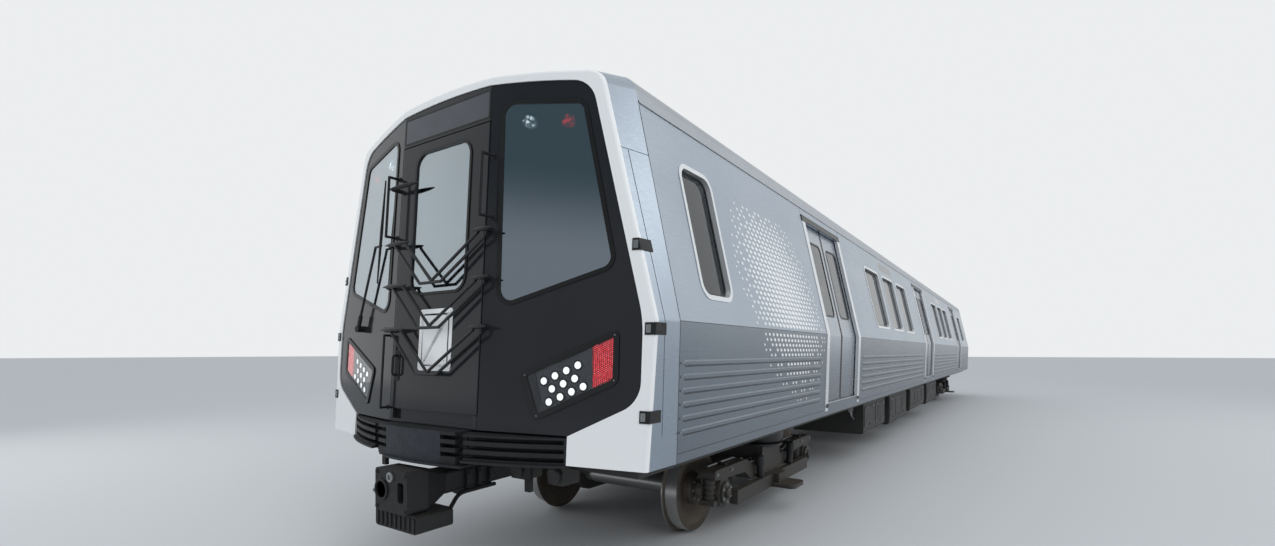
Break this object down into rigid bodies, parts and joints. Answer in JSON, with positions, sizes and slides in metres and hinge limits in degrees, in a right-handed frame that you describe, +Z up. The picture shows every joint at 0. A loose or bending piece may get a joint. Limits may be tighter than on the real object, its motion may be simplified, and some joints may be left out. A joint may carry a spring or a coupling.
{
  "type": "metro cab car",
  "caption": "Stainless-steel metro cab car with a dark sloped front, sliding side doors, end doors, two powered bogies and couplers.",
  "frame": {"origin": "bottom centre of the whole car, level with the wheel flange tips, which are 28 mm below the rail top", "axes": "+X along the car towards the cab end, +Y to the car's left, +Z up"},
  "size_m": [22.86, 3.0976, 3.3423],
  "materials": {
    "white_paint": "gloss paint over moulded panels",
    "stainless": "satin stainless sheet, brushed along the car",
    "door_steel": "satin stainless sheet",
    "roof_steel": "satin stainless sheet",
    "dark_mask": "gloss moulded shell, nearly black",
    "dark_glass": "dark tinted glass",
    "seal_rubber": "moulded rubber",
    "black_rubber": "moulded rubber",
    "black_plastic": "moulded plastic",
    "lamp_lens": "clear lens over a bright reflector",
    "red_lens": "red moulded lens",
    "grey_steel_paint": "semi-gloss paint on steel",
    "bright_aluminium": "satin anodised",
    "floor_rubber": "rubber sheet",
    "underframe_paint": "matt dark paint on steel",
    "bogie_paint": "matt dark paint on cast and welded steel",
    "black_paint": "satin black paint",
    "cream_laminate": "laminate on panels",
    "seat_fabric": "woven cover",
    "seat_plastic": "moulded seat shells",
    "coupler_iron": "cast steel, dull",
    "wheel_steel": "forged steel with bright treads"
  },
  "bodies": {
    "root": {"cab_surround": "white_paint", "cab_shell": "stainless", "cab_mask": "dark_mask", "windscreens": "dark_glass", "windscreen_seals": "seal_rubber", "lamp_housings": "black_plastic", "headlamps": "lamp_lens", "tail_lamps": "red_lens", "anticlimbers": "grey_steel_paint", "side_wall_left": "stainless", "side_wall_right": "stainless", "body_glass": "dark_glass", "window_frames": "bright_aluminium", "sign_windows": "dark_glass", "door_jambs": "bright_aluminium", "door_headers": "black_plastic", "roof": "roof_steel", "hvac_units": "roof_steel", "rear_end": "stainless", "floor": "floor_rubber", "underframe": "underframe_paint", "pivot_pins": "underframe_paint", "equipment_boxes": "underframe_paint", "air_tanks": "underframe_paint", "safety_straps": "black_rubber", "grab_rails": "black_paint", "wiper": "black_paint", "corner_brackets": "black_paint", "cab_bulkhead": "cream_laminate", "cab_desk": "black_plastic", "driver_seat": "seat_fabric", "seats": "seat_plastic", "poles": "bright_aluminium"},
    "bogie_front": {"bogie_frame_front": "bogie_paint", "air_springs_front": "black_rubber", "bogie_motors_front": "bogie_paint"},
    "coupler_front": {"coupler_front": "coupler_iron"},
    "wheelset_front_fore": {"wheelset_front_fore": "wheel_steel"},
    "wheelset_front_aft": {"wheelset_front_aft": "wheel_steel"},
    "bogie_rear": {"bogie_frame_rear": "bogie_paint", "air_springs_rear": "black_rubber", "bogie_motors_rear": "bogie_paint"},
    "coupler_rear": {"coupler_rear": "coupler_iron"},
    "wheelset_rear_fore": {"wheelset_rear_fore": "wheel_steel"},
    "wheelset_rear_aft": {"wheelset_rear_aft": "wheel_steel"},
    "cab_end_door": {"cab_end_door": "dark_mask"},
    "door_front_left_aft": {"door_front_left_aft": "door_steel"},
    "door_front_left_fore": {"door_front_left_fore": "door_steel"},
    "door_front_right_aft": {"door_front_right_aft": "door_steel"},
    "door_front_right_fore": {"door_front_right_fore": "door_steel"},
    "door_middle_left_aft": {"door_middle_left_aft": "door_steel"},
    "door_middle_left_fore": {"door_middle_left_fore": "door_steel"},
    "door_middle_right_aft": {"door_middle_right_aft": "door_steel"},
    "door_middle_right_fore": {"door_middle_right_fore": "door_steel"},
    "door_rear_left_aft": {"door_rear_left_aft": "door_steel"},
    "door_rear_left_fore": {"door_rear_left_fore": "door_steel"},
    "door_rear_right_aft": {"door_rear_right_aft": "door_steel"},
    "door_rear_right_fore": {"door_rear_right_fore": "door_steel"},
    "rear_end_door": {"rear_end_door": "stainless"}
  },
  "joints": [
    {"name": "bogie_front_yaw", "type": "hinge", "parent": "root", "child": "bogie_front", "pos_m": [7.925, 0, 0.75], "axis": [0, 0, 1], "range_deg": [-6, 6]},
    {"name": "wheelset_front_fore_spin", "type": "hinge", "parent": "bogie_front", "child": "wheelset_front_fore", "pos_m": [9.03, 0, 0.3835], "axis": [0, 1, 0], "continuous": true},
    {"name": "wheelset_front_aft_spin", "type": "hinge", "parent": "bogie_front", "child": "wheelset_front_aft", "pos_m": [6.82, 0, 0.3835], "axis": [0, 1, 0], "continuous": true},
    {"name": "coupler_front_swing", "type": "hinge", "parent": "root", "child": "coupler_front", "pos_m": [10.25, 0, 0.718], "axis": [0, 0, 1], "range_deg": [-20, 20]},
    {"name": "bogie_rear_yaw", "type": "hinge", "parent": "root", "child": "bogie_rear", "pos_m": [-7.925, 0, 0.75], "axis": [0, 0, 1], "range_deg": [-6, 6]},
    {"name": "wheelset_rear_fore_spin", "type": "hinge", "parent": "bogie_rear", "child": "wheelset_rear_fore", "pos_m": [-6.82, 0, 0.3835], "axis": [0, 1, 0], "continuous": true},
    {"name": "wheelset_rear_aft_spin", "type": "hinge", "parent": "bogie_rear", "child": "wheelset_rear_aft", "pos_m": [-9.03, 0, 0.3835], "axis": [0, 1, 0], "continuous": true},
    {"name": "coupler_rear_swing", "type": "hinge", "parent": "root", "child": "coupler_rear", "pos_m": [-10.25, 0, 0.718], "axis": [0, 0, 1], "range_deg": [-20, 20]},
    {"name": "door_front_left_fore_slide", "type": "slide", "parent": "root", "child": "door_front_left_fore", "axis": [1, 0, 0], "range_m": [0, 0.63]},
    {"name": "door_front_left_aft_slide", "type": "slide", "parent": "root", "child": "door_front_left_aft", "axis": [-1, 0, 0], "range_m": [0, 0.63]},
    {"name": "door_front_right_fore_slide", "type": "slide", "parent": "root", "child": "door_front_right_fore", "axis": [1, 0, 0], "range_m": [0, 0.63]},
    {"name": "door_front_right_aft_slide", "type": "slide", "parent": "root", "child": "door_front_right_aft", "axis": [-1, 0, 0], "range_m": [0, 0.63]},
    {"name": "door_middle_left_fore_slide", "type": "slide", "parent": "root", "child": "door_middle_left_fore", "axis": [1, 0, 0], "range_m": [0, 0.63]},
    {"name": "door_middle_left_aft_slide", "type": "slide", "parent": "root", "child": "door_middle_left_aft", "axis": [-1, 0, 0], "range_m": [0, 0.63]},
    {"name": "door_middle_right_fore_slide", "type": "slide", "parent": "root", "child": "door_middle_right_fore", "axis": [1, 0, 0], "range_m": [0, 0.63]},
    {"name": "door_middle_right_aft_slide", "type": "slide", "parent": "root", "child": "door_middle_right_aft", "axis": [-1, 0, 0], "range_m": [0, 0.63]},
    {"name": "door_rear_left_fore_slide", "type": "slide", "parent": "root", "child": "door_rear_left_fore", "axis": [1, 0, 0], "range_m": [0, 0.63]},
    {"name": "door_rear_left_aft_slide", "type": "slide", "parent": "root", "child": "door_rear_left_aft", "axis": [-1, 0, 0], "range_m": [0, 0.63]},
    {"name": "door_rear_right_fore_slide", "type": "slide", "parent": "root", "child": "door_rear_right_fore", "axis": [1, 0, 0], "range_m": [0, 0.63]},
    {"name": "door_rear_right_aft_slide", "type": "slide", "parent": "root", "child": "door_rear_right_aft", "axis": [-1, 0, 0], "range_m": [0, 0.63]},
    {"name": "cab_end_door_hinge", "type": "hinge", "parent": "root", "child": "cab_end_door", "pos_m": [11.10938, 0.415, 1.178], "axis": [0.0624, 0, -0.9981], "range_deg": [0, 90]},
    {"name": "rear_end_door_hinge", "type": "hinge", "parent": "root", "child": "rear_end_door", "pos_m": [-11.12, 0.41, 2], "axis": [0, 0, 1], "range_deg": [0, 90]}
  ],
  "couplings": [
    {"joint": "door_front_left_aft_slide", "follows": "door_front_left_fore_slide", "ratio": 1},
    {"joint": "door_front_right_aft_slide", "follows": "door_front_right_fore_slide", "ratio": 1},
    {"joint": "door_middle_left_aft_slide", "follows": "door_middle_left_fore_slide", "ratio": 1},
    {"joint": "door_middle_right_aft_slide", "follows": "door_middle_right_fore_slide", "ratio": 1},
    {"joint": "door_rear_left_aft_slide", "follows": "door_rear_left_fore_slide", "ratio": 1},
    {"joint": "door_rear_right_aft_slide", "follows": "door_rear_right_fore_slide", "ratio": 1}
  ]
}
